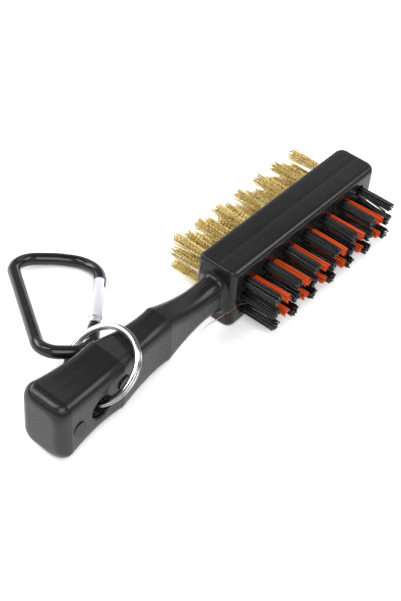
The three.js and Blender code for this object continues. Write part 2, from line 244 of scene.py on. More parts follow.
class Nodes:
    """Short names for the nodes that the materials share."""

    def __init__(self, name):
        self.material = bpy.data.materials.new(name)
        self.material.use_nodes = True
        self.tree = self.material.node_tree
        self.shader = self.tree.nodes["Principled BSDF"]
        self.place = self.tree.nodes.new("ShaderNodeTexCoord").outputs["Object"]

    def set(self, **values):
        """Constant values on the shader's own sockets."""
        for name, value in values.items():
            self.shader.inputs[name.replace("_", " ")].default_value = value

    def link(self, output, socket):
        self.tree.links.new(output, self.shader.inputs[socket])

    def add(self, kind, **values):
        node = self.tree.nodes.new(kind)
        for name, value in values.items():
            node.inputs[name.replace("_", " ")].default_value = value
        return node

    def stretched(self, scale):
        """Object coordinates scaled on each axis: a small scale draws a texture out."""
        node = self.add("ShaderNodeMapping", Scale=scale)
        self.tree.links.new(self.place, node.inputs["Vector"])
        return node.outputs["Vector"]

    def noise(self, scale, detail, roughness, vector=None):
        node = self.add("ShaderNodeTexNoise", Scale=scale, Detail=detail, Roughness=roughness)
        self.tree.links.new(vector or self.place, node.inputs["Vector"])
        return node.outputs["Fac"]

    def island(self):
        """A random number for each separate strand of a mesh."""
        return self.tree.nodes.new("ShaderNodeNewGeometry").outputs["Random Per Island"]

    def ramp(self, factor, stops):
        node = self.tree.nodes.new("ShaderNodeValToRGB")
        elements = node.color_ramp.elements
        while len(elements) < len(stops):
            elements.new(1.0)
        for element, (place, colour) in zip(elements, stops):
            element.position = place
            element.color = (*colour, 1.0)
        self.tree.links.new(factor, node.inputs["Fac"])
        return node.outputs["Color"]

    def between(self, factor, low, high, start=0.3, end=0.7):
        """The factor's range from start to end, mapped to low to high."""
        node = self.tree.nodes.new("ShaderNodeMapRange")
        values = {"From Min": start, "From Max": end, "To Min": low, "To Max": high}
        for name, value in values.items():
            node.inputs[name].default_value = value
        self.tree.links.new(factor, node.inputs["Value"])
        return node.outputs["Result"]

    def mixed(self, a, b, share):
        """The first colour with a share of the second."""
        node = self.tree.nodes.new("ShaderNodeMix")
        node.data_type = "RGBA"
        node.inputs["Factor"].default_value = share
        self.tree.links.new(a, node.inputs["A"])
        self.tree.links.new(b, node.inputs["B"])
        return node.outputs["Result"]

    def bump(self, height, strength, distance, under=None):
        """Fine relief, on top of another bump if one is given."""
        node = self.add("ShaderNodeBump", Strength=strength, Distance=distance * MM)
        self.tree.links.new(height, node.inputs["Height"])
        if under is not None:
            self.tree.links.new(under, node.inputs["Normal"])
        self.link(node.outputs["Normal"], "Normal")
        return node.outputs["Normal"]


def grey(value, tint):
    """A grey with its blue multiplied by the tint."""
    return (value, value, value * tint)


def moulded_plastic():
    """Satin black moulding: fine mould grain, faint flow marks and slight dulling."""
    m = Nodes("moulded_black_plastic")
    flow = m.noise(scale=60, detail=2, roughness=0.6, vector=m.stretched((0.25, 1, 1)))
    speck = m.noise(scale=900, detail=4, roughness=0.6)
    shades = [(0.3, grey(0.006, tint=1.1)), (0.75, grey(0.011, tint=1.06))]
    m.link(m.ramp(m.mixed(flow, speck, share=0.3), shades), "Base Color")
    m.link(m.between(m.mixed(flow, speck, share=0.45), low=0.22, high=0.34), "Roughness")
    sinks = m.bump(m.noise(scale=70, detail=2, roughness=0.5), strength=0.3, distance=0.5)
    ripple = m.noise(scale=220, detail=2, roughness=0.4)
    waves = m.bump(ripple, strength=0.14, distance=0.25, under=sinks)
    grain = m.noise(scale=1500, detail=2, roughness=0.6)
    m.bump(grain, strength=0.2, distance=0.04, under=waves)
    m.set(Specular_IOR_Level=0.32)
    return m.material


def nylon(name, dark, light, roughness, shine):
    """Drawn nylon: each strand its own shade and gloss, with fine lengthways streaks."""
    m = Nodes(name)
    m.link(m.ramp(m.island(), [(0.0, dark), (1.0, light)]), "Base Color")
    streaks = m.noise(scale=900, detail=2, roughness=0.5, vector=m.stretched((3, 0.12, 3)))
    gloss = m.between(m.island(), low=roughness - 0.06, high=roughness + 0.25, start=0, end=1)
    m.link(gloss, "Roughness")
    m.bump(streaks, strength=0.2, distance=0.02)
    m.set(Specular_IOR_Level=shine)
    return m.material


def brass_wire():
    """Bright crimped brass wire: each wire a shade from pale gold to brown, its darkest wires a
    painted shade that stands in for the shade in the gaps between wires, and fine draw marks.
    """
    m = Nodes("crimped_brass_wire")
    tarnish = m.noise(scale=260, detail=3, roughness=0.6)
    # The first, near-black stop is painted shade: it darkens some wires to stand in for the shade
    # between wires. The other stops are the wires' own pale gold to brown.
    shades = [(0.0, (0.12, 0.075, 0.015)), (0.4, (0.6, 0.44, 0.14)), (1.0, (0.97, 0.82, 0.42))]
    wires = m.ramp(m.island(), shades)
    patches = m.ramp(tarnish, [(0.35, (0.45, 0.31, 0.08)), (0.65, (0.9, 0.72, 0.3))])
    m.link(m.mixed(wires, patches, share=0.3), "Base Color")
    m.link(m.between(tarnish, low=0.2, high=0.34), "Roughness")
    draw_marks = m.noise(scale=1500, detail=2, roughness=0.5, vector=m.stretched((3, 0.2, 3)))
    m.bump(draw_marks, strength=0.2, distance=0.02)
    m.set(Metallic=1.0)
    return m.material


def nickel_plate():
    """Bright nickel plate on spring steel, with fine scratches and small dull spots."""
    m = Nodes("nickel_plate")
    spots = m.noise(scale=420, detail=4, roughness=0.65)
    shades = [(0.3, (0.32, 0.315, 0.305)), (0.7, (0.46, 0.455, 0.44))]
    m.link(m.ramp(spots, shades), "Base Color")
    scratches = m.noise(scale=1200, detail=3, roughness=0.7)
    m.link(m.between(scratches, low=0.06, high=0.15), "Roughness")
    m.bump(m.noise(scale=800, detail=3, roughness=0.6), strength=0.03, distance=0.005)
    m.set(Metallic=1.0)
    return m.material


def black_anodised():
    """Glossy black anodised aluminium: deep black, clouded shade and gloss, faint ripples."""
    m = Nodes("black_anodised")
    cloud = m.noise(scale=140, detail=3, roughness=0.5)
    shades = [(0.3, (0.004, 0.004, 0.005)), (0.7, (0.009, 0.009, 0.011))]
    m.link(m.ramp(cloud, shades), "Base Color")
    wear = m.noise(scale=800, detail=3, roughness=0.6)
    m.link(m.between(wear, low=0.16, high=0.24), "Roughness")
    m.bump(m.noise(scale=500, detail=2, roughness=0.5), strength=0.04, distance=0.02)
    m.set(Specular_IOR_Level=0.4)
    return m.material


def bare_aluminium():
    """Satin bare aluminium with faint drawn-out marks."""
    m = Nodes("polished_aluminium")
    cloud = m.noise(scale=180, detail=3, roughness=0.5)
    m.link(m.ramp(cloud, [(0.3, (0.84, 0.82, 0.91)), (0.7, (0.9, 0.88, 0.97))]), "Base Color")
    wear = m.noise(scale=1200, detail=3, roughness=0.6)
    m.link(m.between(wear, low=0.34, high=0.44), "Roughness")
    marks = m.noise(scale=900, detail=2, roughness=0.5, vector=m.stretched((1, 0.1, 1)))
    m.bump(marks, strength=0.05, distance=0.01)
    m.set(Metallic=0.7)
    return m.material


def plain_steel():
    """Zinc-grey steel for the rivet, plunger and spring."""
    m = Nodes("plain_steel")
    cloud = m.noise(scale=700, detail=4, roughness=0.6)
    shades = [(0.3, grey(0.4, tint=1.03)), (0.7, grey(0.62, tint=1.03))]
    m.link(m.ramp(cloud, shades), "Base Color")
    m.link(m.between(cloud, low=0.22, high=0.4), "Roughness")
    m.bump(m.noise(scale=2600, detail=3, roughness=0.6), strength=0.12, distance=0.02)
    m.set(Metallic=1.0)
    return m.material


def copper_strand():
    """A single loose strand of copper-coloured wire."""
    m = Nodes("copper_strand")
    shades = [(0.3, (0.72, 0.3, 0.14)), (0.7, (0.95, 0.52, 0.3))]
    m.link(m.ramp(m.noise(scale=500, detail=2, roughness=0.5), shades), "Base Color")
    wear = m.noise(scale=1500, detail=2, roughness=0.5)
    m.link(m.between(wear, low=0.25, high=0.4), "Roughness")
    m.set(Metallic=1.0)
    return m.material


PLASTIC = moulded_plastic()
NYLON_LOOKS = {
    "black": nylon(
        "black_nylon", dark=(0.001, 0.0012, 0.0016), light=(0.004, 0.004, 0.005),
        roughness=0.2, shine=0.5,
    ),
    "orange": nylon(
        "orange_nylon", dark=(0.42, 0.034, 0.002), light=(0.68, 0.08, 0.006),
        roughness=0.34, shine=0.3,
    ),
}
BRASS_WIRE = brass_wire()
NICKEL = nickel_plate()
ANODISED = black_anodised()
ALUMINIUM = bare_aluminium()
STEEL = plain_steel()
COPPER = copper_strand()

# ---- meshes --------------------------------------------------------------------------


def as_object(name, data):
    """An object in the scene that shows a mesh, light or camera."""
    made = bpy.data.objects.new(name, data)
    bpy.context.scene.collection.objects.link(made)
    return made


def make_mesh(name, points, faces):
    """A mesh object from points in millimetres, with its faces turned outward."""
    mesh = bpy.data.meshes.new(name)
    mesh.from_pydata((np.asarray(points, float) * MM).tolist(), [], faces)
    solid = bmesh.new()
    solid.from_mesh(mesh)
    bmesh.ops.recalc_face_normals(solid, faces=solid.faces)
    solid.to_mesh(mesh)
    solid.free()
    return as_object(name, mesh)


def shifted(place):
    """A move by a place in millimetres."""
    return Matrix.Translation(Vector(place) * MM)


def finish_piece(piece, material, slot, body, *nodes, sharp=None):
    """Smooth shading, material, and the CAD body and nodes that the piece belongs to."""
    mesh = piece.data
    mesh.polygons.foreach_set("use_smooth", [True] * len(mesh.polygons))
    if sharp is not None:
        mesh.set_sharp_from_angle(angle=math.radians(sharp))
    mesh.materials.clear()
    mesh.materials.append(material)
    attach(piece, body)
    if nodes:
        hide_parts(*nodes)


def loop_faces(rows, size, caps=True):
    """Faces of a tube through rows of the same number of points, closed by end caps."""
    faces = []
    for row in range(rows - 1):
        for i in range(size):
            a = row * size + i
            b = row * size + (i + 1) % size
            faces.append((a, b, b + size, a + size))
    if caps:
        last = (rows - 1) * size
        faces.append(tuple(range(size - 1, -1, -1)))
        faces.append(tuple(range(last, last + size)))
    return faces


def lathe(name, profile, sides, axis="Y"):
    """A closed solid turned about an axis. The profile runs from axis to axis as (r, along)."""
    points = []
    inner = profile[1:-1]
    for r, along in inner:
        for i in range(sides):
            angle = 2 * math.pi * i / sides
            points.append((r * math.cos(angle), along, r * math.sin(angle)))
    faces = loop_faces(len(inner), sides, caps=False)
    for (_, along), row, flip in ((profile[0], 0, 1), (profile[-1], len(inner) - 1, -1)):
        centre = len(points)
        points.append((0, along, 0))
        for i in range(sides):
            a, b = row * sides + i, row * sides + (i + 1) % sides
            faces.append((centre, a, b)[::flip])
    made = make_mesh(name, points, faces)
    if axis == "Z":
        made.data.transform(Matrix.Rotation(math.pi / 2, 4, "X"))
    return made


def block(name, low, high, round_edge=0.0):
    """A box between two corners, with rounded edges if asked."""
    (x0, y0, z0), (x1, y1, z1) = low, high
    corners = [(x, y, z) for x in (x0, x1) for y in (y0, y1) for z in (z0, z1)]
    faces = [(0, 1, 3, 2), (4, 6, 7, 5), (0, 4, 5, 1), (2, 3, 7, 6), (0, 2, 6, 4), (1, 5, 7, 3)]
    made = make_mesh(name, corners, faces)
    if round_edge:
        solid = bmesh.new()
        solid.from_mesh(made.data)
        bmesh.ops.bevel(
            solid, geom=solid.edges[:], offset=round_edge * MM,
            segments=3, affect="EDGES", profile=0.5,
        )
        solid.to_mesh(made.data)
        solid.free()
    return made


def combine(target, tool, how):
    """Adds the tool to the target or cuts it away, and removes the tool."""
    modifier = target.modifiers.new(how, "BOOLEAN")
    modifier.operation = how
    modifier.object = tool
    modifier.solver = "EXACT"
    bpy.context.view_layer.update()
    evaluated = target.evaluated_get(bpy.context.evaluated_depsgraph_get())
    result = bpy.data.meshes.new_from_object(evaluated)
    target.modifiers.clear()
    target.data = result
    bpy.data.objects.remove(tool)


def joined(name, pieces):
    """Several separate solids as one object."""
    whole = bmesh.new()
    for piece in pieces:
        whole.from_mesh(piece.data)
        bpy.data.objects.remove(piece)
    mesh = bpy.data.meshes.new(name)
    whole.to_mesh(mesh)
    whole.free()
    return as_object(name, mesh)


def round_outline(radius, sides):
    angles = 2 * math.pi * np.arange(sides) / sides
    return np.stack([radius * np.cos(angles), radius * np.sin(angles)], 1)


def sweep(name, centres, outline):
    """A closed bar along centres, its outline turned as little as possible on the way."""
    tangents = np.gradient(centres, axis=0)
    tangents /= np.linalg.norm(tangents, axis=1)[:, None]
    seldom_parallel = (0.13, 0.2, 0.97)
    across = np.cross(tangents[0], seldom_parallel)
    across /= np.linalg.norm(across)
    rows = []
    for centre, tangent in zip(centres, tangents):
        across = across - tangent * across.dot(tangent)
        across /= np.linalg.norm(across)
        other = np.cross(tangent, across)
        rows.append(centre + outline[:, :1] * across + outline[:, 1:] * other)
    return make_mesh(name, np.concatenate(rows), loop_faces(len(rows), len(outline)))


# ---- handle and head -----------------------------------------------------------------


def section(x, half_y, half_z, corner, groove, lift=0.0):
    """Outline across the brush, with a fine line on the parting plane at top and bottom."""
    corner = min(corner, LARGEST_CORNER * half_y, LARGEST_CORNER * half_z)
    flat_y, flat_z = half_y - corner, half_z - corner
    line_width = min(PARTING["width"], LONGEST_LINE * flat_y)
    quarter = [(0.0, half_z - groove), (line_width, half_z)]
    quarter += [(share * flat_y, half_z) for share in TOP_SHARES]
    for step in range(CORNER_STEPS + 1):
        angle = math.pi / 2 * (1 - step / CORNER_STEPS)
        quarter.append((flat_y + corner * math.cos(angle), flat_z + corner * math.sin(angle)))
    quarter += [(half_y, share * flat_z) for share in SIDE_SHARES]
    upper = quarter + [(half_y, 0.0)]
    lower = [(y, -z) for y, z in reversed(quarter)]
    right = upper + lower
    left = [(-y, z) for y, z in reversed(right[1:-1])]
    return [(x, y, MID_Z + lift + z) for y, z in right + left]


def quadratic(a, b, c, t):
    return (1 - t) ** 2 * a + 2 * t * (1 - t) * b + t * t * c


def scoop_size(s):
    """Half width, half height and lift of the handle at a distance from the head."""
    scoop = next((q for q in SCOOPS if s <= q["s"][2]), SCOOPS[-1])
    low, high = 0.0, 1.0
    for _ in range(30):
        t = (low + high) / 2
        if quadratic(*scoop["s"], t) < s:
            low = t
        else:
            high = t
    top, bottom = quadratic(*scoop["top"], t), quadratic(*scoop["bottom"], t)
    return quadratic(*scoop["width"], t), (top + bottom) / 2, (top - bottom) / 2


def handle_corner(s):
    return float(np.interp(s, HANDLE_CORNER["s"], HANDLE_CORNER["radius"]))


def butt_sections(end_s):
    """Sections of the butt's end face and of its rounded end, up to the last scoop's end."""
    rows = []
    corner = handle_corner(HANDLE_LENGTH)
    end_y, end_z, lift = scoop_size(end_s)
    x_end = HEAD_NEAR_X - HANDLE_LENGTH
    y_tip, z_tip = end_y - BUTT_ROUND["y"], end_z - BUTT_ROUND["z"]
    for share in FACE_RINGS:
        rows.append((x_end, share * y_tip, share * z_tip, share * corner, 0, lift))
    steps = BUTT_ROUND["steps"]
    for step in range(steps + 1):
        angle = math.pi / 2 * step / steps
        inset = 1 - math.sin(angle)
        x = x_end + (HANDLE_LENGTH - end_s) * (1 - math.cos(angle))
        half_y, half_z = end_y - BUTT_ROUND["y"] * inset, end_z - BUTT_ROUND["z"] * inset
        rows.append((x, half_y, half_z, corner, PARTING["flash"] * step / steps, lift))
    return rows


def scoop_stations(end_s):
    """Distances from the head of the sections between the butt and the neck's flare."""
    evenly = set(np.round(np.arange(NECK_FLARE["reach"], end_s, STATION_GAP), 3))
    creases = [scoop["s"][0] for scoop in SCOOPS[1:]]
    stations = {s for s in evenly if all(abs(s - c) > CREASE["margin"] for c in creases)}
    for crease in creases:
        stations |= {crease - CREASE["beside"], crease, crease + CREASE["beside"]}
    return sorted(stations, reverse=True)


def handle_sections():
    """Rounded sections from the butt to the head's near end face."""
    end_s = SCOOPS[-1]["s"][2]
    flash = PARTING["flash"]
    rows = butt_sections(end_s)
    for s in scoop_stations(end_s):
        half_y, half_z, lift = scoop_size(s)
        rows.append((HEAD_NEAR_X - s, half_y, half_z, handle_corner(s), flash, lift))
    root_y, root_z, lift = scoop_size(NECK_FLARE["reach"])
    root_corner = handle_corner(0)
    steps = NECK_FLARE["steps"]
    for step in range(1, steps + 1):
        angle = math.pi / 2 * step / steps
        grow = NECK_FLARE["reach"] * NECK_FLARE["grow"] * (1 - math.cos(angle))
        x = HEAD_NEAR_X - NECK_FLARE["reach"] * (1 - math.sin(angle))
        rows.append((x, root_y + grow, root_z + grow, root_corner, flash, lift * math.cos(angle)))
    return rows


def rounded_end(end, face_x, inward):
    """Sections round one end of the head, from its end face to its full size."""
    rows = []
    for step in range(end["steps"] + 1):
        angle = math.pi / 2 * step / end["steps"]
        depth = end["plan"] * (1 - math.cos(angle))
        y = HEAD_HALF_Y - end["plan"] * (1 - math.sin(angle))
        rise = min(1.0, depth / end["edge"])
        z = HEAD_HALF_Z - end["edge"] * (1 - math.sqrt(1 - (1 - rise) ** 2))
        groove = PARTING["groove"] if rise == 1.0 else 0
        rows.append((face_x + inward * depth, y, z, HEAD_EDGE, groove))
    return rows


def head_sections():
    """Sections of the head, from its near end face to its far end face."""
    rows = []
    last_y, last_z, root_corner = handle_sections()[-1][1:4]
    flat_y, flat_z = HEAD_HALF_Y - NEAR_END["plan"], HEAD_HALF_Z - NEAR_END["edge"]
    for share in COLLAR_RINGS:
        y = last_y + (flat_y - last_y) * share
        z = last_z + (flat_z - last_z) * share
        rows.append((HEAD_NEAR_X, y, z, root_corner + (HEAD_EDGE - root_corner) * share, 0))
    rows += rounded_end(NEAR_END, HEAD_NEAR_X, inward=1)
    first = HEAD_NEAR_X + HEAD_STATIONS["from_near"]
    last = HEAD_FAR_X - HEAD_STATIONS["from_far"]
    for x in np.linspace(first, last, HEAD_STATIONS["count"]):
        rows.append((x, HEAD_HALF_Y, HEAD_HALF_Z, HEAD_EDGE, PARTING["groove"]))
    rows += reversed(rounded_end(FAR_END, HEAD_FAR_X, inward=-1))
    tip_y, tip_z = rows[-1][1:3]
    for share in reversed(FACE_RINGS):
        rows.append((HEAD_FAR_X, share * tip_y, share * tip_z, share * HEAD_EDGE, 0))
    return rows


def tuft_places():
    """Row, column, x and z of the tufts on one face, set quincunx."""
    for row in range(1, TUFT_ROWS + 1):
        count = 7 if row % 2 else 6
        z = MID_Z + ((TUFT_ROWS + 1) / 2 - row) * ROW_SPACING
        for column in range(1, count + 1):
            yield row, column, (column - (count + 1) / 2) * TUFT_PITCH, z


def tuft_hole_cutters():
    radius, depth, lip = TUFT_HOLE["radius"], TUFT_HOLE["depth"], TUFT_HOLE["lip"]
    face, outside = HEAD_HALF_Y, HEAD_HALF_Y + 1
    profile = [(0, face - depth), (radius, face - depth), (radius, face - lip)]
    profile += [(radius + lip, face), (radius + lip, outside), (0, outside)]
    cutters = []
    for side in (1, -1):
        for _, _, x, z in tuft_places():
            cutter = lathe("hole", [(r, side * y) for r, y in profile], SIDES["tuft_hole"])
            cutter.data.transform(shifted((x, 0, z)))
            cutters.append(cutter)
    return joined("tuft_hole_cutters", cutters)


def key_hole_cutter():
    """The through hole with rounded lips, and grooves in it that look like a thread."""
    radius, lip = KEY_HOLE["radius"], KEY_HOLE["lip"]
    ribs = KEY_HOLE_RIBS
    face = scoop_size(KEY_HOLE["s"])[0]
    outside = face + 3
    groove = radius + ribs["depth"]
    profile = []
    for y in np.linspace(ribs["inner"], face - ribs["outer"], ribs["count"]):
        profile += [(radius, y - ribs["foot"]), (groove, y - ribs["top"])]
        profile += [(groove, y + ribs["top"]), (radius, y + ribs["foot"])]
    for angle in np.linspace(0, 1.5, 6):
        flare = lip * (1 - math.cos(angle))
        profile.append((radius + flare, face - lip + lip * math.sin(angle)))
    profile += [(radius + lip * 1.6, outside), (0, outside)]
    whole = [(r, -y) for r, y in reversed(profile)] + profile
    cutter = lathe("key_hole_cutter", whole, SIDES["key_hole"])
    cutter.data.transform(shifted((HEAD_NEAR_X - KEY_HOLE["s"], 0, MID_Z)))
    return cutter


def mould_mark(mark):
    """A low round boss on the nylon side of the handle."""
    face = scoop_size(mark["s"])[0] + mark["rise"]
    radius, edge, root = MARK["radius"], MARK["edge"], MARK["depth"] - face
    profile = [(0, root), (radius, root), (radius, edge - face), (radius - edge, -face), (0, -face)]
    boss = lathe("mould_mark", profile, SIDES["mould_mark"])
    boss.data.transform(shifted((HEAD_NEAR_X - mark["s"], 0, mark["z"])))
    return boss


def sharpen_creases(body):
    """Marks the creases between the scoops sharp, so that each scoop is shaded on its own."""
    stations = [HEAD_NEAR_X - scoop["s"][0] for scoop in SCOOPS[1:]]
    points = body.data.vertices
    for edge in body.data.edges:
        ends = [points[i].co.x / MM for i in edge.vertices]
        if any(max(abs(x - station) for x in ends) < 0.01 for station in stations):
            edge.use_edge_sharp = True


def make_body():
    points = [section(*row) for row in handle_sections() + head_sections()]
    faces = loop_faces(len(points), len(points[0]))
    body = make_mesh("handle_and_head", np.concatenate(points), faces)
    combine(body, tuft_hole_cutters(), "DIFFERENCE")
    combine(body, key_hole_cutter(), "DIFFERENCE")
    for mark in MOULD_MARKS:
        combine(body, mould_mark(mark), "UNION")
    finish_piece(body, PLASTIC, "black_plastic", "brush", "handle_body", sharp=38)
    sharpen_creases(body)
    weighted = body.modifiers.new("flat_faces_first", "WEIGHTED_NORMAL")
    weighted.keep_sharp = True
    weighted.weight = 80


# ---- tufts ---------------------------------------------------------------------------


def disc_places(count, radius, jitter):
    """Places close-packed in a disc, nudged a little, nearest the middle first."""
    row_height = math.sqrt(0.75)
    pitch = radius * math.sqrt(math.pi / (count * row_height))
    off_centre = np.array([0.21, 0.13]) * pitch
    places = []
    for row in range(-12, 13):
        for column in range(-12, 13):
            places.append(((column + 0.5 * (row % 2)) * pitch, row * pitch * row_height))
    places = np.array(places) + off_centre
    nearest = places[np.argsort((places ** 2).sum(1))][:count]
    return nearest + rng.normal(0, jitter * pitch, nearest.shape)


def bundle(name, root, paths, thickness, sides):
    """Round strands along paths shaped (strands, points, 3), each closed at both ends."""
    strands, steps, _ = paths.shape
    angles = 2 * math.pi * np.arange(sides) / sides
    ring = np.stack([np.cos(angles), np.zeros(sides), np.sin(angles)], 1)
    radii = thickness * (1 + rng.normal(0, THICKNESS_SCATTER, (strands, 1, 1, 1)))
    points = paths[:, :, None, :] + ring[None, None, :, :] * radii + np.array(root)
    pattern = loop_faces(steps, sides)
    stride = steps * sides
    faces = [tuple(i + s * stride for i in face) for s in range(strands) for face in pattern]
    mesh = bpy.data.meshes.new(name)
    mesh.from_pydata((points.reshape(-1, 3) * MM).tolist(), [], faces)
    return as_object(name, mesh)


def spread_out(roots, tips, lengths, along, spread):
    """Points beside and along the face's normal for each strand, and how far along they are."""
    sunk = TUFT_HOLE["depth"] - ROOT_GAP
    t = np.linspace(0, 1, spread["steps"])
    side = roots[:, None] + (tips - roots)[:, None] * (t ** spread["power"])[None, :, None]
    y = along * (-sunk + (lengths + sunk)[:, None] * t[None, :])
    return side, y, t


def nylon_paths(tuft, along):
    """Nearly straight strands that spread a little towards their tips, and a few loose ones."""
    count, loose = tuft["count"], tuft["loose"]
    scatter = NYLON_SCATTER
    roots = disc_places(count, tuft["root"] - tuft["strand"], scatter["root"])
    tips = roots * tuft["tip"] / tuft["root"] + rng.normal(0, scatter["tip"], (count, 2))
    tips += rng.normal(0, scatter["tuft"], 2)
    tips[count - loose:] += rng.normal(FRAYED["towards"], scatter["loose"], (loose, 2))
    bow = rng.normal(0, scatter["bow"], (count, 2)) + rng.normal(0, scatter["tuft_bow"], 2)
    uneven = np.minimum(rng.normal(0, scatter["length"], count), scatter["longest"])
    lengths = tuft["length"] - scatter["shorter"] + uneven
    side, y, t = spread_out(roots, tips, lengths, along, NYLON_SPREAD)
    side += bow[:, None] * (np.sin(math.pi * t))[None, :, None]
    return np.stack([side[..., 0], y, side[..., 1]], 2)


def brass_paths(along):
    """Crimped wires that fan out, with a few that stray."""
    count = BRASS["count"]
    scatter = BRASS_SCATTER
    roots = disc_places(count, BRASS["root"] - BRASS["strand"], scatter["root"])
    tips = roots * BRASS["tip"] / BRASS["root"] + rng.normal(0, scatter["tip"], (count, 2))
    tips += rng.normal(0, scatter["tuft"], 2)
    stray = rng.random(count) < scatter["stray_share"]
    tips[stray] += rng.normal(0, scatter["stray"], (int(stray.sum()), 2))
    uneven = rng.normal(-scatter["shorter"], scatter["length"], count)
    lengths = BRASS["length"] + np.minimum(uneven, scatter["longest"])
    side, y, t = spread_out(roots, tips, lengths, along, BRASS_SPREAD)
    phase = rng.normal(rng.uniform(0, 2 * math.pi), CRIMP["phase"], count)
    heading = rng.normal(rng.uniform(0, math.pi), CRIMP["heading"], count)
    waves = rng.normal(CRIMP["waves"], CRIMP["wave_scatter"], count)
    depth = rng.uniform(*CRIMP["depth"])
    wave = np.sin(2 * math.pi * waves[:, None] * t[None, :] + phase[:, None])
    crimp = depth * wave * np.minimum(1, CRIMP["grow"] * t)
    side = side + crimp[..., None] * np.stack([np.cos(heading), np.sin(heading)], 1)[:, None]
    return np.stack([side[..., 0], y, side[..., 1]], 2)


def make_tufts():
    for row, column, x, z in tuft_places():
        colour = "orange" if row % 2 == 0 else "black"
        sizes = dict(NYLON[colour])
        if (row, column) == FRAYED["tuft"]:
            sizes["loose"] = FRAYED["loose"]
        paths = nylon_paths(sizes, along=-1)
        name = f"{colour}_nylon_strands_row{row}_{column}"
        tuft = bundle(name, (x, -HEAD_HALF_Y, z), paths, sizes["strand"], SIDES["nylon"])
        node = f"{colour}_nylon_tuft_row{row}_{column}"
        finish_piece(tuft, NYLON_LOOKS[colour], f"{colour}_nylon", "brush", node, sharp=50)
    for row, column, x, z in tuft_places():
        paths = brass_paths(along=1)
        name = f"brass_wires_row{row}_{column}"
        tuft = bundle(name, (x, HEAD_HALF_Y, z), paths, BRASS["strand"], SIDES["brass"])
        finish_piece(tuft, BRASS_WIRE, "brass_wire", "brush", f"brass_tuft_row{row}")


def smooth_route(places, steps):
    """Points on a Catmull-Rom curve through a few places."""
    route = np.array(places, float)
    knots = np.concatenate([[2 * route[0] - route[1]], route, [2 * route[-1] - route[-2]]])
    points = []
    for p0, p1, p2, p3 in zip(knots, knots[1:], knots[2:], knots[3:]):
        for t in np.arange(steps) / steps:
            linear = (p2 - p0) * t
            square = (2 * p0 - 5 * p1 + 4 * p2 - p3) * t ** 2
            cubic = (3 * p1 - p0 - 3 * p2 + p3) * t ** 3
            points.append(0.5 * (2 * p1 + linear + square + cubic))
    points.append(route[-1])
    return np.array(points)


def make_loose_strand():
    route = smooth_route(LOOSE_STRAND_ROUTE, LOOSE_STRAND["steps"])
    outline = round_outline(LOOSE_STRAND["radius"], SIDES["loose_strand"])
    strand = sweep("loose_copper_strand", route, outline)
    finish_piece(strand, COPPER, "brass_wire", "brush")


# ---- split ring ----------------------------------------------------------------------


def ring_wire_outline():
    """A rounded rectangle: its width across the ring and its height along the ring's axis."""
    angles = 2 * math.pi * np.arange(SIDES["ring"]) / SIDES["ring"]
    crown = 2 / RING["squareness"]
    across = np.sign(np.cos(angles)) * np.abs(np.cos(angles)) ** crown * RING["band"] / 2
    along = np.sign(np.sin(angles)) * np.abs(np.sin(angles)) ** crown * RING["coil"] / 2
    return np.stack([across, along], 1)


def make_split_ring():
    steps = int(RING["turns"] * RING["steps"])
    turn = np.linspace(0, RING["turns"], steps + 1)
    cross = np.clip((turn - RING["climb_from"]) / RING["climb_over"], 0, 1)
    climb = cross * cross * (3 - 2 * cross) - 0.5
    outline = ring_wire_outline()
    rows = []
    for t, rise in zip(turn, climb):
        angle = 2 * math.pi * (t + RING["start"])
        reach = RING["radius"] + outline[:, 0]
        lift = rise * (RING["coil"] + RING["gap"]) + outline[:, 1]
        rows.append(np.stack([reach * math.cos(angle), reach * math.sin(angle), lift], 1))
    faces = loop_faces(len(rows), len(outline))
    ring = make_mesh("split_ring_coils", np.concatenate(rows), faces)
    lean = Matrix.Rotation(RING_LEAN, 4, "Y") @ Matrix.Rotation(RING_ROLL, 4, "X")
    ring.data.transform(shifted(RING_CENTRE) @ lean)
    finish_piece(ring, NICKEL, "nickel", "ring", "split_ring", sharp=55)


# ---- carabiner -----------------------------------------------------------------------

GATE_FOOT = Vector(CARABINER_CORNERS[0])
GATE_DIRECTION = (Vector(CARABINER_CORNERS[-1]) - GATE_FOOT).normalized()
PIVOT = GATE_FOOT + GATE_DIRECTION * GATE["up"]
GATE_ANGLE = math.atan2(GATE_DIRECTION.y, GATE_DIRECTION.x) - math.pi / 2
ROLL, PITCH, YAW = CARABINER_TURN
CARABINER_FRAME = (
    shifted(CARABINER_PLACE)
    @ Matrix.Rotation(YAW, 4, "Z") @ Matrix.Rotation(PITCH, 4, "Y") @ Matrix.Rotation(ROLL, 4, "X")
)
PIVOT_FRAME = CARABINER_FRAME @ shifted((PIVOT.x, PIVOT.y, 0)) @ Matrix.Rotation(GATE_ANGLE, 4, "Z")


def along_gate(distance):
    return PIVOT + GATE_DIRECTION * distance


def bend_points(before, corner, after, radius):
    """Points on the arc that rounds a corner of the bar."""
    back = (before - corner).normalized()
    ahead = (after - corner).normalized()
    half = math.acos(back.dot(ahead)) / 2
    centre = corner + (back + ahead).normalized() * radius / math.sin(half)
    spoke = corner + back * radius / math.tan(half) - centre
    points = []
    steps = CARABINER_STEPS["bend"]
    for step in range(steps + 1):
        turn = -(math.pi - 2 * half) * step / steps
        c, s = math.cos(turn), math.sin(turn)
        points.append(centre + Vector((spoke.x * c - spoke.y * s, spoke.x * s + spoke.y * c)))
    return points


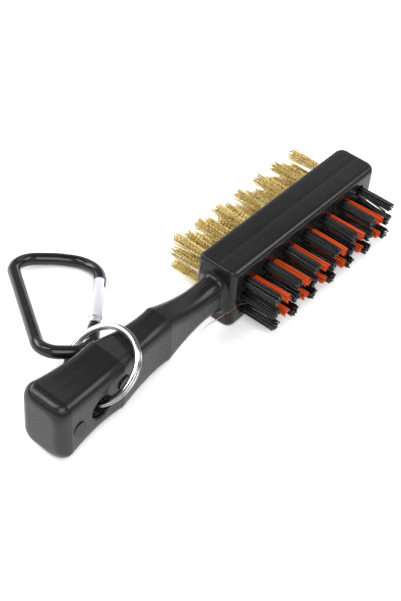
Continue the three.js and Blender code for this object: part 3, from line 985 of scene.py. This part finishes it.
def bar_centre_line():
    """Straight runs joined by arcs, from the hinge round both ends to the nose."""
    stops = [along_gate(-TANG["drop"])] + [Vector(c) for c in CARABINER_CORNERS]
    stops.append(along_gate(GATE["length"] + CLEARANCE))
    points = [stops[0]]
    for i, radius in enumerate(CARABINER_RADII, start=1):
        points += bend_points(stops[i - 1], stops[i], stops[i + 1], radius)
    points.append(stops[-1])
    corners = np.array([(p.x, p.y, 0) for p in points])
    runs = np.linalg.norm(np.diff(corners, axis=0), axis=1)
    lengths = np.concatenate([[0], np.cumsum(runs)])
    even = np.linspace(0, lengths[-1], CARABINER_STEPS["bar"])
    return np.stack([np.interp(even, lengths, corners[:, k]) for k in range(3)], 1)


def pin_cutter(name, reach):
    """A cutter for the rivet's hole, along Z."""
    radius = RIVET["hole"]
    profile = [(0, -reach), (radius, -reach), (radius, reach), (0, reach)]
    return lathe(name, profile, SIDES[name], axis="Z")


def make_carabiner_body():
    bar = sweep("carabiner_bar", bar_centre_line(), round_outline(STOCK, SIDES["bar"]))
    bar.data.transform(CARABINER_FRAME)
    half, thick = TANG["half"], TANG["thick"] / 2
    tang_low = (-half, -TANG["drop"] - TANG["into_bar"], -thick)
    tang = block("tang", tang_low, (half, TANG["up"], thick), TANG["edge"])
    combine(tang, pin_cutter("tang_hole", reach=4), "DIFFERENCE")
    end = GATE["length"] + CLEARANCE
    wide = TONGUE["width"] / 2
    tongue_low = (TONGUE["inner"], end - TONGUE["length"], -wide)
    tongue_high = (TONGUE["outer"], end + TONGUE["into_bar"], wide)
    tongue = block("tongue", tongue_low, tongue_high, TONGUE["edge"])
    for part in (tang, tongue):
        part.data.transform(PIVOT_FRAME)
        combine(bar, part, "UNION")
    finish_piece(bar, ANODISED, "black_anodised", "carabiner", "carabiner_body", sharp=40)


def gate_profile():
    """The tube's outline, from its bore's closed end down to its tail and up to its nose."""
    radius, bore, tail, length = GATE["radius"], GATE["bore"], GATE["tail"], GATE["length"]
    size, middle = GATE_EDGE["size"], GATE_EDGE["middle"]
    wall = length - GATE["end_wall"]
    return [
        (0, wall), (bore, wall), (bore, -tail),
        (radius - size, -tail), (radius - middle, -tail + middle), (radius, -tail + size),
        (radius, length - size), (radius - middle, length - middle), (radius - size, length),
        (0, length),
    ]


def make_gate():
    gate = lathe("polished_gate", gate_profile(), SIDES["gate"])
    length, tail = GATE["length"], GATE["tail"]
    reach, slot = GATE_SLOT["reach"], GATE_SLOT["width"] / 2
    notch = TONGUE["width"] / 2 + CLEARANCE
    notch_low = (TONGUE["inner"] - CLEARANCE, length - TONGUE["length"], -notch)
    cutters = [
        block("slot", (-reach, -tail - 1, -slot), (reach, GATE_SLOT["up"], slot)),
        block("notch", notch_low, (NOTCH_REACH, length + 1, notch)),
        pin_cutter("pin_hole", reach),
    ]
    for cutter in cutters:
        combine(gate, cutter, "DIFFERENCE")
    gate.data.transform(PIVOT_FRAME)
    finish_piece(gate, ALUMINIUM, "bare_aluminium", "gate", "carabiner_gate", sharp=35)


def make_rivet():
    under_head = GATE["radius"] + RIVET["gap"]
    rim = under_head + RIVET["rim"]
    upper = [(RIVET["radius"], under_head), (RIVET["head"], under_head)]
    for angle in np.linspace(0, math.pi / 2, 6):
        upper.append((RIVET["head"] * math.cos(angle), rim + RIVET["dome"] * math.sin(angle)))
    upper[-1] = (0, upper[-1][1])
    whole = [(r, -y) for r, y in reversed(upper)] + upper
    rivet = lathe("gate_rivet", whole, SIDES["rivet"], axis="Z")
    rivet.data.transform(PIVOT_FRAME)
    finish_piece(rivet, STEEL, "steel", "carabiner", "gate_hinge_rivet", sharp=40)


def make_spring_and_plunger():
    turns, radius = SPRING["turns"], SPRING["radius"]
    t = np.linspace(0, 1, turns * SPRING["steps"] + 1)
    angle = 2 * math.pi * turns * t
    height = SPRING["from"] + (SPRING["to"] - SPRING["from"]) * t
    coil = np.stack([radius * np.cos(angle), height, radius * np.sin(angle)], 1)
    spring = sweep("gate_coil_spring", coil, round_outline(SPRING["wire"], SIDES["spring"]))
    plunger = lathe("gate_nose_plunger", PLUNGER, SIDES["plunger"])
    for piece, node in ((spring, "gate_spring"), (plunger, "gate_plunger")):
        piece.data.transform(PIVOT_FRAME)
        finish_piece(piece, STEEL, "steel", "gate", node, sharp=50)


# ---- stage ---------------------------------------------------------------------------


def make_floor():
    reach, height = FLOOR["reach"], FLOOR["height"]
    signs = [(-1, -1), (1, -1), (1, 1), (-1, 1)]
    corners = [(x * reach, y * reach, height) for x, y in signs]
    floor = make_mesh("studio_floor", corners, [(0, 1, 2, 3)])
    m = Nodes("pale_floor")
    m.set(Base_Color=(0.93, 0.93, 0.93, 1), Roughness=0.9, Specular_IOR_Level=0.2)
    m.set(Emission_Color=(1, 1, 1, 1), Emission_Strength=FLOOR["glow"])
    floor.data.materials.append(m.material)


def make_softbox(name, place, target, size, power):
    light = bpy.data.lights.new(name, "AREA")
    light.shape = "RECTANGLE"
    light.size, light.size_y = size
    light.energy = power
    lamp = as_object(name, light)
    lamp.location = Vector(place)
    lamp.rotation_euler = (Vector(target) - Vector(place)).to_track_quat("-Z", "Y").to_euler()


def make_world():
    """A light tent: a pale horizon, a bright band higher up, and dark between and overhead."""
    world = bpy.data.worlds.new("light_tent")
    bpy.context.scene.world = world
    world.use_nodes = True
    tree = world.node_tree
    place = tree.nodes.new("ShaderNodeTexCoord").outputs["Generated"]
    split = tree.nodes.new("ShaderNodeSeparateXYZ")
    tree.links.new(place, split.inputs["Vector"])
    ramp = tree.nodes.new("ShaderNodeValToRGB")
    tree.links.new(split.outputs["Z"], ramp.inputs["Fac"])
    elements = ramp.color_ramp.elements
    while len(elements) < len(TENT):
        elements.new(1.0)
    for element, (height, value) in zip(elements, TENT):
        element.position = height
        element.color = (value, value, value * TENT_BLUE, 1)
    background = tree.nodes["Background"]
    tree.links.new(ramp.outputs["Color"], background.inputs["Color"])
    background.inputs["Strength"].default_value = 1.0


def make_camera():
    """The photograph's viewing angle, from above the butt on the nylon side."""
    camera = bpy.data.cameras.new("camera")
    camera.lens = CAMERA["lens"]
    camera.sensor_width = CAMERA["sensor"]
    camera.clip_start = CAMERA["near"]
    camera.clip_end = CAMERA["far"]
    shown = as_object("camera", camera)
    forward = Vector(CAMERA_FORWARD).normalized()
    right = Vector(CAMERA_RIGHT)
    right = (right - forward * right.dot(forward)).normalized()
    up = right.cross(forward)
    turn = Matrix((right, up, -forward)).transposed().to_4x4()
    shown.matrix_world = shifted(CAMERA_PLACE) @ turn
    bpy.context.scene.camera = shown


make_camera()
make_body()
make_tufts()
make_loose_strand()
make_split_ring()
make_carabiner_body()
make_gate()
make_rivet()
make_spring_and_plunger()
make_floor()
make_world()
for softbox, settings in SOFTBOXES.items():
    make_softbox(softbox, *settings)
bpy.context.scene.view_settings.view_transform = "Standard"
